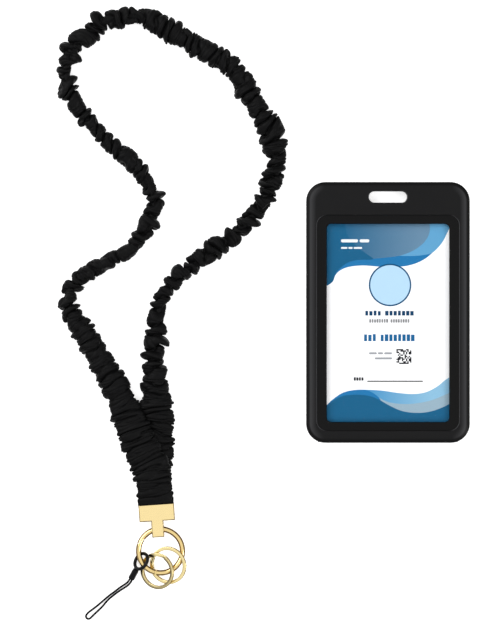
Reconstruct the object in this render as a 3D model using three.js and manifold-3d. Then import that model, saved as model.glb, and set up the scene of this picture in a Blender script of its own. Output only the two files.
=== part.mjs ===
// Ruched fabric neck lanyard with its metal fittings, and a rigid vertical badge holder beside it.
// Millimetres. X runs across the layout, Y towards the neck end of the strap, Z up from the table.
// The origin is the centre of the footprint, on the table, measured without the tether's thin cord.
import * as THREE from 'three';
import { mergeVertices } from 'three/addons/utils/BufferGeometryUtils.js';
import Module from 'manifold-3d';

const wasm = await Module();
wasm.setup();

// ---------- driving dimensions ----------
const GAP = 0.3;                 // between pieces that touch
const LAYOUT_SHIFT = [0, -8.3];  // moves the whole layout so that its footprint is centred

const STRAP = { diameter: 10.5, inside: 8, core: 3.2, steps: 76 };
const STRAP_END = { halfWidth: 30, halfHeight: 8 };  // a box that holds either flattened end
const WIRE_Z = 5.4;              // height of the gate ring's wire above the table

const CLAMP = {
  plateWidth: 19.5, plateHeight: 9.3, stemWidth: 6.6, stemLength: 4.8,
  sheet: 0.8, insideGap: 3.2, eyeInside: 4.5, turn: 4,
};

const GATE_RING = { radius: 12.05, wire: 3, center: [-56.6, -131.7], eyeAngle: 97 };
const GATE = {
  hingeAngle: 251, tipAngle: 155, scarf: 30, scarfBlock: 12, overrun: 24,
  pin: 1.2, pinClearance: 0.15, pinInset: 0.05, tongue: 1, tongueInset: 0.05, stem: 3, clearance: 1.75,
  bore: 1.7, boreReach: 7, boreOverrun: 7,
};
const GATE_SPRING = { coils: 8, radius: 0.5, wire: 0.22, from: 2.6, to: 7 };

const KEY_RING = { band: 1.9, turn: 0.68, pitch: 0.78, climb: 40, startAfter: 8, endBefore: 4, steps: 132 };
const KEY_RING_LEFT = {
  radius: 9.2, center: [-58.4, -142.7], middle: 5.5, slope: [0.5, 0.16], climbAt: 60,
};
const KEY_RING_RIGHT = {
  radius: 9.5, center: [-52.4, -139.6], middle: 5.4, slope: [0.33, 0.145], climbAt: 105,
};

const TETHER = {
  ring: 11, band: 1.7, angle: 208, longAxis: 58, tilt: 48,
  sleeve: 3.5, sleeveLength: 5.6, sleeveTurn: 4, sleeveDrop: 0.42, sleeveInset: 0.42,
  bore: 1.215, boreFrom: 2,
  cord: 0.9,
};

const HOLDER = { center: [68.5, -0.5], width: 90, height: 143.5, thickness: 7, corner: 10.5, bevel: 0.8 };
const STEP = { width: 78.3, height: 118.4, corner: 5.5, depth: 0.8 };
const WINDOW = { width: 67.3, height: 108.9, corner: 2.6, offset: -5.8 };
const SLOT = { length: 21, width: 6.2, offset: 63.5 };
const LENS = { width: 71.4, height: 113, low: 4.05, high: 4.95 };
const CARD = { width: 70, height: 111.5, low: 2.3, high: 3.1, corner: 3 };
const COVER = { width: 73, flange: 77, plate: [0.3, 1.2], seat: 2, rim: 3.4, rimWidth: 1.2, top: 54 };
const THUMB = { radius: 8, squash: 0.45, height: 4, offset: 9, sink: 1.4 };
const CLEAR = 20;                // how far a cutting shape reaches past the piece it cuts

// ---------- materials ----------
const finish = (color, roughness, metalness) =>
  new THREE.MeshStandardMaterial({ color, roughness, metalness });
const FABRIC = [0x17171a, 0.7, 0];
const ELASTIC = [0x2a2a2c, 0.8, 0];
const GOLD = [0xe8c474, 0.2, 1];
const PALE_GOLD = [0xe9cf84, 0.22, 1];
const SPRING_STEEL = [0xb9bcc0, 0.3, 1];
const BLACK_PLASTIC = [0x1b1c1e, 0.5, 0];
const CLEAR_ACRYLIC = [0xf2f6f8, 0.05, 0];
const PRINTED_CARD = [0xf4f6f8, 0.35, 0];

// ---------- solids ----------
const radians = THREE.MathUtils.degToRad;

function polar(radius, degrees) {
  const angle = radians(degrees);
  return [radius * Math.cos(angle), radius * Math.sin(angle)];
}

function solid(geometry) {
  geometry.deleteAttribute('normal');
  geometry.deleteAttribute('uv');
  const merged = mergeVertices(geometry, 1e-4);
  return new wasm.Manifold(new wasm.Mesh({
    numProp: 3,
    vertProperties: new Float32Array(merged.attributes.position.array),
    triVerts: new Uint32Array(merged.index.array),
  }));
}

function geometryOf(body) {
  const mesh = body.getMesh();
  const geometry = new THREE.BufferGeometry();
  const [corners, triangles] = [new Float32Array(mesh.vertProperties), new Uint32Array(mesh.triVerts)];
  geometry.setAttribute('position', new THREE.BufferAttribute(corners, 3));
  geometry.setIndex(new THREE.BufferAttribute(triangles, 1));
  return geometry;
}

function place(parent, name, body, [color, roughness, metalness]) {
  const mesh = new THREE.Mesh(geometryOf(body), finish(color, roughness, metalness));
  mesh.name = name;
  parent.add(mesh);
}

const outline = (points) => new THREE.Shape(points.map(([x, y]) => new THREE.Vector2(x, y)));

function roundedRectangle(width, height, corner) {
  const [x, y] = [width / 2, height / 2];
  const shape = new THREE.Shape();
  shape.moveTo(-x + corner, -y);
  shape.absarc(x - corner, -y + corner, corner, -Math.PI / 2, 0);
  shape.absarc(x - corner, y - corner, corner, 0, Math.PI / 2);
  shape.absarc(-x + corner, y - corner, corner, Math.PI / 2, Math.PI);
  shape.absarc(-x + corner, -y + corner, corner, Math.PI, Math.PI * 1.5);
  return shape;
}

// An outline raised from one height to another, moved along Y by an offset.
function prism(shape, low, high, offset = 0, curveSegments = 8) {
  const settings = { depth: high - low, bevelEnabled: false, curveSegments };
  const geometry = new THREE.ExtrudeGeometry(shape, settings);
  return solid(geometry.translate(0, offset, low));
}

function block(x, y, z) {
  const geometry = new THREE.BoxGeometry(x[1] - x[0], y[1] - y[0], z[1] - z[0]);
  return solid(geometry.translate((x[0] + x[1]) / 2, (y[0] + y[1]) / 2, (z[0] + z[1]) / 2));
}

// A side view, given as [y, z] points, drawn out across X.
function sideProfile(points, halfWidth) {
  const settings = { depth: 2 * halfWidth, bevelEnabled: false };
  const geometry = new THREE.ExtrudeGeometry(outline(points), settings);
  geometry.applyMatrix4(new THREE.Matrix4().makeBasis(
    new THREE.Vector3(0, 1, 0), new THREE.Vector3(0, 0, 1), new THREE.Vector3(1, 0, 0)));
  return solid(geometry.translate(-halfWidth, 0, 0));
}

function cylinder(radius, length, sides = 24) {
  return new THREE.CylinderGeometry(radius, radius, length, sides);
}

function uprightCylinder(radius, length, sides) {
  return cylinder(radius, length, sides).rotateX(Math.PI / 2);
}

function roundSection(radius, sides) {
  const corner = (_, i) => polar(radius, (i * 360) / sides);
  return outline(Array.from({ length: sides }, corner));
}

function tube(path, section, steps) {
  return solid(new THREE.ExtrudeGeometry(section, { steps, extrudePath: path, bevelEnabled: false }));
}

// A path given by a function of a number from 0 to 1.
class Path extends THREE.Curve {
  constructor(at) {
    super();
    this.at = at;
  }

  getPoint(t) {
    return new THREE.Vector3(...this.at(t));
  }
}

const arc = (radius, from, to) => new Path((t) => [...polar(radius, from + t * (to - from)), 0]);

function spline(points) {
  const corners = points.map((p) => new THREE.Vector3(...p));
  return new THREE.CatmullRomCurve3(corners, false, 'centripetal');
}

// ---------- strap ----------
// Centreline of the ruched loop, from the left side of the V, round the neck, to its right side.
const STRAP_ROUTE = [
  [-80, -44.5], [-86, -33], [-98, -13], [-104.5, -4], [-107.5, 6.5], [-104, 15], [-94.5, 23],
  [-73.5, 34.5], [-66.5, 41.5], [-61.5, 50.5], [-59.5, 59.5], [-63, 69.5], [-69.5, 79], [-88.5, 96.5],
  [-97.5, 106.5], [-105.5, 118.5], [-108.5, 129.5], [-107.5, 139.5], [-101.5, 149], [-93, 155.5],
  [-84.5, 161], [-73.5, 162.5], [-63, 161], [-54, 156], [-43.5, 150.5], [-31.5, 143.5],
  [-19.5, 135.5], [-11.5, 125], [2, 102], [6.5, 90], [7, 78], [2.5, 65.5], [-12.5, 45],
  [-36.5, 27], [-47.5, 19], [-54, 10.5], [-57.5, 1], [-60, -18.5], [-60.5, -27.5], [-59.5, -44.5],
];

// Plan outlines of the two flattened ends and their side profiles, from the clamp's eye.
const LEFT_END = [
  [-9.3, 5.2], [9.3, 5.2], [9.3, 15], [9.6, 21], [9.5, 28.5], [7, 33.5], [4, 40], [3, 48], [0.5, 56.5],
  [-1, 65.5], [-5.5, 72.5], [-23.5, 73.5], [-22, 66], [-20.5, 58], [-17.5, 50], [-14.5, 41.5],
  [-11, 33.5], [-10, 25], [-9.3, 16],
];
const RIGHT_END = [
  [-9.3, 5.2], [9.3, 5.2], [9.3, 15], [9.6, 21], [10.5, 32], [11, 40], [11, 48], [13, 63.5], [11.5, 74.5],
  [-2, 74.5], [-5.5, 65], [-8, 49], [-9, 33], [-9.3, 16],
];
const RIGHT_END_SIDE = [[5.2, -1.3], [16, -1.3], [26, -4.8], [76, -5.1], [76, -0.35], [5.2, -0.15]];
const LEFT_END_SIDE = [[5.2, 0.15], [76, 0.05], [76, 4.7], [40, 4.6], [26, 3.6], [16, 1.3], [5.2, 1.3]];

function strapLoop(parent) {
  const route = spline(STRAP_ROUTE.map(([x, y]) => [x, y, STRAP.diameter / 2]));
  const section = roundSection(STRAP.diameter / 2, 12);
  section.holes.push(new THREE.Path(roundSection(STRAP.inside / 2, 12).getPoints()));
  place(parent, 'strap_loop', tube(route, section, STRAP.steps), FABRIC);
  const coreSection = roundSection(STRAP.core / 2, 8);
  place(parent, 'strap_core', tube(route, coreSection, STRAP.steps), ELASTIC);
}

function strapEnd(parent, name, plan, side) {
  const { halfWidth, halfHeight } = STRAP_END;
  const flat = prism(outline(plan), -halfHeight, halfHeight);
  place(parent, name, flat.intersect(sideProfile(side, halfWidth)), FABRIC);
}

// ---------- clamp ----------
// One folded sheet: two T-shaped faces over the strap ends, joined by a round eye.
function ribbonClamp(parent) {
  const { plateWidth, plateHeight, stemWidth, stemLength, sheet, insideGap, eyeInside } = CLAMP;
  const top = stemLength + plateHeight;
  const inside = insideGap / 2;
  const outside = inside + sheet;
  const long = plateWidth + 2;
  const eye = (radius) => solid(cylinder(radius, long, 40).rotateZ(Math.PI / 2));
  const folded = eye(eyeInside / 2 + sheet)
    .add(block([-long / 2, long / 2], [0, top], [-outside, outside]))
    .subtract(eye(eyeInside / 2))
    .subtract(block([-long, long], [0, top + 1], [-inside, inside]));
  const [stem, plate, low] = [stemWidth / 2, plateWidth / 2, -eyeInside];
  const face = outline([
    [-stem, low], [stem, low], [stem, stemLength], [plate, stemLength],
    [plate, top], [-plate, top], [-plate, stemLength], [-stem, stemLength],
  ]);
  place(parent, 'ribbon_clamp', folded.intersect(prism(face, -eyeInside, eyeInside)), GOLD);
}

// ---------- gate ring ----------
// The wire's section, and short calls for what stands at the hinge or the gate's free end.
const wireSection = roundSection(GATE_RING.wire / 2, 16);
const degreesPerMm = 180 / (Math.PI * GATE_RING.radius);
const wireArc = (from, to, steps) => tube(arc(GATE_RING.radius, from, to), wireSection, steps);

function atHinge(radius, length) {
  const [x, y] = polar(GATE_RING.radius, GATE.hingeAngle);
  return solid(uprightCylinder(radius, length).translate(x, y, 0));
}

// The scarf plane cuts the free end across the wire, so that the gate can only open inwards.
function scarfBlock(side) {
  const size = GATE.scarfBlock;
  const [x, y] = polar(GATE_RING.radius, GATE.tipAngle);
  const geometry = new THREE.BoxGeometry(size, size, size).translate(0, side * (size - GAP) / 2, 0);
  return solid(geometry.rotateZ(radians(GATE.scarf)).translate(x, y, 0));
}

// The ring's body ends in a flat tongue round the pin.
function ringBody() {
  const { hingeAngle, tipAngle, overrun, pin, pinClearance, tongue, tongueInset, stem, clearance } = GATE;
  const { wire } = GATE_RING;
  const tongueSlab = block([-CLEAR, CLEAR], [-CLEAR, CLEAR], [-tongue / 2, tongue / 2]);
  return wireArc(tipAngle + overrun, hingeAngle - 360 + clearance * degreesPerMm, 56)
    .subtract(scarfBlock(-1))
    .add(wireArc(hingeAngle + stem * degreesPerMm, hingeAngle, 4).intersect(tongueSlab))
    .add(atHinge(wire / 2 - tongueInset, tongue))
    .subtract(atHinge(pin / 2 + pinClearance, 2 * wire));
}

// The gate ends in a fork over the tongue, and is bored out behind it for the spring.
function gateArm() {
  const { hingeAngle, tipAngle, overrun, pin, pinClearance, tongue, tongueInset } = GATE;
  const { wire, radius } = GATE_RING;
  const boreEnd = hingeAngle - GATE.boreReach * degreesPerMm - GATE.boreOverrun;
  const bore = tube(arc(radius, hingeAngle - 2, boreEnd), roundSection(GATE.bore / 2, 12), 12);
  const roundEnd = atHinge(wire / 2, wire).intersect(wireArc(hingeAngle - 10, hingeAngle + 10, 4));
  return wireArc(tipAngle - overrun, hingeAngle, 28)
    .subtract(scarfBlock(1))
    .add(roundEnd)
    .subtract(atHinge(wire / 2 - tongueInset + GAP, tongue + GAP))
    .subtract(bore)
    .subtract(atHinge(pin / 2 + pinClearance, 2 * wire));
}

function gateSpring() {
  const { coils, from, to } = GATE_SPRING;
  const helix = new Path((t) => {
    const [out, up] = polar(GATE_SPRING.radius, t * coils * 360);
    const angle = GATE.hingeAngle - (from + t * (to - from)) * degreesPerMm;
    return [...polar(GATE_RING.radius + out, angle), up];
  });
  return tube(helix, roundSection(GATE_SPRING.wire / 2, 5), coils * 12);
}

function gateRing(parent) {
  place(parent, 'gate_ring_body', ringBody(), GOLD);
  place(parent, 'gate_hinge_pin', atHinge(GATE.pin / 2, GATE_RING.wire - 2 * GATE.pinInset), GOLD);
  place(parent, 'gate_arm', gateArm(), GOLD);
  place(parent, 'gate_spring', gateSpring(), SPRING_STEEL);
}

// ---------- split key rings ----------
// Nearly two turns of flat wire, one on the other, with a short climb between the turns.
function keyRing(parent, name, { radius, center, middle, slope, climbAt }) {
  const { band, turn, pitch, climb, startAfter, endBefore, steps } = KEY_RING;
  const start = climbAt + climb + startAfter;
  const end = climbAt + 720 - endBefore;
  const level = (angle) => {
    const part = THREE.MathUtils.clamp((angle - climbAt - 360) / climb, 0, 1);
    return pitch * (THREE.MathUtils.smoothstep(part, 0, 1) - 0.5);
  };
  const path = new Path((t) => {
    const angle = start + t * (end - start);
    return [...polar(radius, angle), level(angle)];
  });
  const section = outline([
    [-turn / 2, -band / 2], [turn / 2, -band / 2], [turn / 2, band / 2], [-turn / 2, band / 2],
  ]);
  const group = new THREE.Group();
  group.position.set(...center, middle);
  const normal = new THREE.Vector3(-slope[0], -slope[1], 1).normalize();
  group.quaternion.setFromUnitVectors(new THREE.Vector3(0, 0, 1), normal);
  place(group, name, tube(path, section, steps), PALE_GOLD);
  parent.add(group);
}

// ---------- tether ----------
// Centreline of the tether's cord, out of the sleeve, round the open loop and back, [x, y, z].
const TETHER_ROUTE = [
  [-72.06, -144.41, 3.78], [-73.35, -146.85, 2.62], [-74.2, -148.3, 1.6], [-75.4, -149.6, 0.8],
  [-77, -150.7, 0.5], [-79.2, -152.2, 0.5], [-82.2, -154.5, 0.5], [-85.2, -156.7, 0.5],
  [-88.6, -159.6, 0.5], [-91.9, -162.4, 0.5], [-94.8, -164.6, 0.5], [-96.9, -166.3, 0.5],
  [-97.8, -167.9, 0.5], [-97.2, -169.2, 0.5], [-95.8, -169.2, 0.5], [-93.8, -167.4, 0.5],
  [-91.4, -165.1, 0.5], [-88.8, -162.6, 0.5], [-85.6, -158.9, 0.5], [-82.3, -156.1, 0.5],
  [-79, -153.7, 0.5], [-76.3, -152, 0.5], [-74.5, -150.7, 0.8], [-73.2, -149.2, 1.6],
  [-72.25, -147.43, 2.62], [-70.96, -144.99, 3.78],
];

function tetherHoop() {
  const { ring, band } = TETHER;
  const middle = new THREE.Vector2((ring - band) / 2, 0);
  const profile = roundSection(band / 2, 12).getPoints().map((point) => point.add(middle));
  return solid(new THREE.LatheGeometry([...profile, profile[0].clone()], 40).rotateX(Math.PI / 2));
}

function tetherSleeve() {
  const { sleeve, sleeveLength, bore, boreFrom } = TETHER;
  const body = solid(cylinder(sleeve / 2, sleeveLength, 20).translate(0, sleeveLength / 2, 0));
  const hole = cylinder(bore, sleeveLength, 16).translate(0, sleeveLength / 2 + boreFrom, 0);
  return body.subtract(solid(hole));
}

function tether(parent) {
  const { ring, band, angle, longAxis, tilt, sleeveTurn, sleeveDrop, sleeveInset } = TETHER;
  const [alongX, alongY] = polar(GATE_RING.radius, angle);
  const group = new THREE.Group();
  group.position.set(GATE_RING.center[0] + alongX, GATE_RING.center[1] + alongY, WIRE_Z);
  group.rotation.set(0, 0, radians(longAxis));
  const tilted = new THREE.Group();
  tilted.rotation.set(-radians(tilt), 0, 0);
  group.add(tilted);
  place(tilted, 'tether_ring', tetherHoop(), BLACK_PLASTIC);
  parent.add(group);

  // The sleeve runs down from the end of the ring's long axis to the table.
  const [mouthX, mouthY] = polar((ring - band) / 2, 180 + longAxis);
  const heading = new THREE.Vector3(...polar(1, 180 + longAxis + sleeveTurn), -sleeveDrop).normalize();
  const sleeveGroup = new THREE.Group();
  sleeveGroup.position.set(mouthX, mouthY, 0).add(group.position);
  sleeveGroup.position.addScaledVector(heading, band / 2 + sleeveInset + GAP);
  sleeveGroup.quaternion.setFromUnitVectors(new THREE.Vector3(0, 1, 0), heading);
  place(sleeveGroup, 'tether_sleeve', tetherSleeve(), BLACK_PLASTIC);
  parent.add(sleeveGroup);

  const cord = tube(spline(TETHER_ROUTE), roundSection(TETHER.cord / 2, 8), 80);
  place(parent, 'tether_cord', cord, FABRIC);
}

// ---------- badge holder ----------
function holderFrame(parent) {
  const { width, height, thickness, corner, bevel } = HOLDER;
  const { offset } = WINDOW;
  const plan = roundedRectangle(width - 2 * bevel, height - 2 * bevel, corner - bevel);
  const outer = new THREE.ExtrudeGeometry(plan, {
    depth: thickness - 2 * bevel, bevelSize: bevel, bevelThickness: bevel, bevelSegments: 2, curveSegments: 8,
  });
  const step = roundedRectangle(STEP.width, STEP.height, STEP.corner);
  const opening = roundedRectangle(WINDOW.width, WINDOW.height, WINDOW.corner);
  const slot = roundedRectangle(SLOT.length, SLOT.width, SLOT.width / 2 - 0.01);
  const across = (w) => [-w / 2 - GAP, w / 2 + GAP];
  const lensAlong = [offset - LENS.height / 2 - GAP, offset + LENS.height / 2 + GAP];
  const coverAlong = [-height, COVER.top + GAP];
  const frame = solid(outer.translate(0, 0, bevel))
    .subtract(prism(step, thickness - STEP.depth, CLEAR, offset))
    .subtract(prism(opening, LENS.low, CLEAR, offset))
    .subtract(block(across(LENS.width), lensAlong, [COVER.rim, LENS.high + GAP]))
    .subtract(block(across(COVER.width), coverAlong, [-CLEAR, COVER.plate[1]]))
    .subtract(block(across(COVER.flange), coverAlong, [COVER.plate[1] - GAP, COVER.rim + GAP]))
    .subtract(prism(slot, -CLEAR, CLEAR, SLOT.offset));
  place(parent, 'holder_frame', frame, BLACK_PLASTIC);
}

function holderContents(parent) {
  const lens = roundedRectangle(LENS.width, LENS.height, 1);
  place(parent, 'window_lens', prism(lens, LENS.low, LENS.high, WINDOW.offset), CLEAR_ACRYLIC);
  const card = roundedRectangle(CARD.width, CARD.height, CARD.corner);
  place(parent, 'id_card', prism(card, CARD.low, CARD.high, WINDOW.offset), PRINTED_CARD);
}

// The rear cover is a shallow tray for the card. Its side flanges run in the frame's grooves.
function rearCover(parent) {
  const { width, flange, plate, seat, rim, rimWidth, top } = COVER;
  const bottom = -HOLDER.height / 2 + GAP;
  const half = width / 2;
  const [cardX, cardY] = [CARD.width / 2 + GAP, CARD.height / 2 + GAP];
  const rimX = cardX + rimWidth;
  const cardAlong = [WINDOW.offset - cardY, WINDOW.offset + cardY];
  const thumb = uprightCylinder(THUMB.radius, THUMB.height, 32).scale(1, THUMB.squash, 1);
  const cover = block([-half, half], [bottom, top], [plate[0], seat])
    .add(block([-flange / 2, flange / 2], [bottom, top], [plate[1], seat]))
    .add(block([-rimX, rimX], [bottom, top], [plate[1], rim - GAP]))
    .subtract(block([-cardX, cardX], cardAlong, [seat, rim + 1]))
    .subtract(solid(thumb.translate(0, bottom + THUMB.offset, plate[0] - THUMB.sink)));
  place(parent, 'rear_cover', cover, BLACK_PLASTIC);
}

// ---------- assembly ----------
const group = new THREE.Group();
group.position.set(...LAYOUT_SHIFT, 0);

strapLoop(group);

const eye = polar(GATE_RING.radius - 0.2, GATE_RING.eyeAngle);
const clampGroup = new THREE.Group();
clampGroup.position.set(GATE_RING.center[0] + eye[0], GATE_RING.center[1] + eye[1], WIRE_Z);
clampGroup.rotation.z = radians(CLAMP.turn);
strapEnd(clampGroup, 'strap_end_left', LEFT_END, LEFT_END_SIDE);
strapEnd(clampGroup, 'strap_end_right', RIGHT_END, RIGHT_END_SIDE);
ribbonClamp(clampGroup);
group.add(clampGroup);

const ringGroup = new THREE.Group();
ringGroup.position.set(...GATE_RING.center, WIRE_Z);
gateRing(ringGroup);
group.add(ringGroup);

keyRing(group, 'key_ring_left', KEY_RING_LEFT);
keyRing(group, 'key_ring_right', KEY_RING_RIGHT);
tether(group);

const holderGroup = new THREE.Group();
holderGroup.position.set(...HOLDER.center, 0);
holderFrame(holderGroup);
holderContents(holderGroup);
rearCover(holderGroup);
group.add(holderGroup);

export default group;
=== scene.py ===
import math

import bmesh
import bpy
import numpy as np
from mathutils import Matrix, Vector


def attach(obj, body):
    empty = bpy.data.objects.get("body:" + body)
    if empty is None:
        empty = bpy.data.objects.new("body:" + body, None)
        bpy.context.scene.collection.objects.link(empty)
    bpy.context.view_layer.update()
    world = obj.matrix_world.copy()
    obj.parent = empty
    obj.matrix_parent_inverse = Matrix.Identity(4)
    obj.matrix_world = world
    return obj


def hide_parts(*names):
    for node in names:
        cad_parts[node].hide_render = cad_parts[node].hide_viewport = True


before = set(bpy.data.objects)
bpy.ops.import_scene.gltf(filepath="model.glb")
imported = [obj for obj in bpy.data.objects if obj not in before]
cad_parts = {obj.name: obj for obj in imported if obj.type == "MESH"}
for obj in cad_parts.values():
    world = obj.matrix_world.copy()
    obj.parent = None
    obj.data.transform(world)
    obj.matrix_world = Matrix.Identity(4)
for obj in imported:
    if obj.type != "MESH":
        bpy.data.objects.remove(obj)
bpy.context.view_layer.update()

MM = 0.001

LAYOUT_SHIFT = np.array([0, -8.3, 0])   # the same move as the CAD's layout
WIRE_Z = 5.4
RING_CENTER = np.array([-56.6, -131.7, WIRE_Z]) + LAYOUT_SHIFT
RING_RADIUS = 12.05
WIRE = 3.0
HINGE_ANGLE, TIP_ANGLE, SCARF_ANGLE, EYE_ANGLE = 251, 155, 30, 97
CLAMP_TURN = 4
HOLDER_X = 68.5


# ---------- camera ----------
def make_camera():
    """A long lens straight above the layout, as high as the picture's frame needs."""
    view_height = 343.75
    distance = 2600
    middle = np.array([-7.4, -8.85])
    data = bpy.data.cameras.new("camera")
    data.sensor_width = 36
    data.lens = data.sensor_width * (distance - WIRE_Z) / view_height
    data.clip_start, data.clip_end = 0.1, 20
    camera = bpy.data.objects.new("camera", data)
    camera.location = (middle[0] * MM, middle[1] * MM, distance * MM)
    bpy.context.scene.collection.objects.link(camera)
    bpy.context.scene.camera = camera


make_camera()


# ---------- mesh tools ----------
def new_object(name, vertices, faces, materials, smooth=True):
    mesh = bpy.data.meshes.new(name)
    mesh.from_pydata([tuple(v) for v in np.asarray(vertices) * MM], [], faces)
    mesh.validate()
    for material in materials:
        mesh.materials.append(material)
    made = bpy.data.objects.new(name, mesh)
    bpy.context.scene.collection.objects.link(made)
    if smooth:
        mesh.shade_smooth()
    return made


def grid_faces(rows, columns):
    """Quads of a tube of rings, and one cap at each end."""
    faces = []
    for i in range(rows - 1):
        for j in range(columns):
            k = (j + 1) % columns
            faces.append((i * columns + j, i * columns + k, (i + 1) * columns + k, (i + 1) * columns + j))
    faces.append(tuple(range(columns - 1, -1, -1)))
    last = (rows - 1) * columns
    faces.append(tuple(range(last, last + columns)))
    return faces


def polar(radius, degrees):
    a = math.radians(degrees)
    return np.array([radius * math.cos(a), radius * math.sin(a), 0.0])


def catmull_rom(points, spacing):
    """A centripetal spline through the points, sampled evenly."""
    p = np.asarray(points, float)
    p = np.vstack([2 * p[0] - p[1], p, 2 * p[-1] - p[-2]])
    fine = []
    for i in range(1, len(p) - 2):
        a, b, c, d = p[i - 1:i + 3]
        t0 = 0.0
        t1 = t0 + np.linalg.norm(b - a) ** 0.5
        t2 = t1 + np.linalg.norm(c - b) ** 0.5
        t3 = t2 + np.linalg.norm(d - c) ** 0.5
        for t in np.linspace(t1, t2, 40, endpoint=False):
            ab = (t1 - t) / (t1 - t0) * a + (t - t0) / (t1 - t0) * b
            bc = (t2 - t) / (t2 - t1) * b + (t - t1) / (t2 - t1) * c
            cd = (t3 - t) / (t3 - t2) * c + (t - t2) / (t3 - t2) * d
            abc = (t2 - t) / (t2 - t0) * ab + (t - t0) / (t2 - t0) * bc
            bcd = (t3 - t) / (t3 - t1) * bc + (t - t1) / (t3 - t1) * cd
            fine.append((t2 - t) / (t2 - t1) * abc + (t - t1) / (t2 - t1) * bcd)
    fine.append(p[-2])
    return resample(np.array(fine), spacing)


def resample(line, spacing):
    along = np.concatenate([[0], np.cumsum(np.linalg.norm(np.diff(line, axis=0), axis=1))])
    count = max(2, int(round(along[-1] / spacing)) + 1)
    wanted = np.linspace(0, along[-1], count)
    return np.stack([np.interp(wanted, along, line[:, k]) for k in range(3)], axis=1)


def side_frames(line):
    """Tangent, sideways and upward directions along a line that runs mostly level."""
    tangent = np.gradient(line, axis=0)
    tangent /= np.linalg.norm(tangent, axis=1)[:, None]
    side = np.cross(np.array([0.0, 0.0, 1.0]), tangent)
    side /= np.linalg.norm(side, axis=1)[:, None]
    return tangent, side, np.cross(tangent, side)


def sweep(name, line, section, materials):
    """A solid of a constant section, given as [sideways, upward] points, along a line."""
    _, side, rise = side_frames(line)
    section = np.asarray(section, float)
    rings = (line[:, None, :] + section[None, :, :1] * side[:, None, :]
             + section[None, :, 1:] * rise[:, None, :])
    faces = grid_faces(len(line), len(section))
    return new_object(name, rings.reshape(-1, 3), faces, materials)


def circle_points(radius, count):
    a = np.arange(count) * 2 * math.pi / count
    return np.stack([radius * np.cos(a), radius * np.sin(a)], axis=1)


def rounded_rectangle(width, height, corner, arc_points):
    points = []
    corners = ((1, -1, -90), (1, 1, 0), (-1, 1, 90), (-1, -1, 180))
    for sx, sy, first in corners:
        cx, cy = sx * (width / 2 - corner), sy * (height / 2 - corner)
        for k in range(arc_points + 1):
            points.append((cx, cy) + polar(corner, first + 90 * k / arc_points)[:2])
    return np.array(points)


def loft(name, loops, materials, center=(0, 0), smooth=True):
    """A solid through level outlines, each given as (points, height), with flat ends."""
    vertices = [np.column_stack([p + np.asarray(center), np.full(len(p), z)]) for p, z in loops]
    faces = grid_faces(len(loops), len(loops[0][0]))
    return new_object(name, np.concatenate(vertices), faces, materials, smooth)


def box_solid(name, low, high):
    x, y, z = zip(low, high)
    outline = np.array([(x[0], y[0]), (x[1], y[0]), (x[1], y[1]), (x[0], y[1])])
    return loft(name, [(outline, z[0]), (outline, z[1])], [], smooth=False)


def apply_modifiers(made):
    graph = bpy.context.evaluated_depsgraph_get()
    mesh = bpy.data.meshes.new_from_object(made.evaluated_get(graph))
    old = made.data
    made.modifiers.clear()
    made.data = mesh
    bpy.data.meshes.remove(old)


def combine(target, tools, operation="DIFFERENCE"):
    """Cuts the tools out of the target, or joins them to it, and removes them."""
    for tool in tools:
        modifier = target.modifiers.new("cut", "BOOLEAN")
        modifier.operation = operation
        modifier.solver = "EXACT"
        modifier.object = tool
    apply_modifiers(target)
    for tool in tools:
        bpy.data.objects.remove(tool)


def soften(made, width, segments, angle):
    """Rounds the sharp edges a little and shades the rest smooth."""
    weld = made.modifiers.new("weld", "WELD")
    weld.merge_threshold = 0.002 * MM
    bevel = made.modifiers.new("bevel", "BEVEL")
    bevel.width = width * MM
    bevel.segments = segments
    bevel.limit_method = "ANGLE"
    bevel.angle_limit = math.radians(angle)
    bevel.harden_normals = False
    apply_modifiers(made)
    shade_by_angle(made, 40)


def shade_by_angle(made, degrees):
    """Shades smooth below an angle. The large faces decide the normals, so that flats stay flat."""
    mesh = made.data
    mesh.shade_smooth()
    work = bmesh.new()
    work.from_mesh(mesh)
    limit = math.radians(degrees)
    for edge in work.edges:
        edge.smooth = len(edge.link_faces) == 2 and edge.calc_face_angle(0) < limit
    work.to_mesh(mesh)
    work.free()
    weighted = made.modifiers.new("weighted", "WEIGHTED_NORMAL")
    weighted.keep_sharp = True
    weighted.weight = 100
    apply_modifiers(made)


def finish_piece(made, body, slot, *nodes):
    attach(made, body)
    if nodes:
        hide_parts(*nodes)


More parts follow.
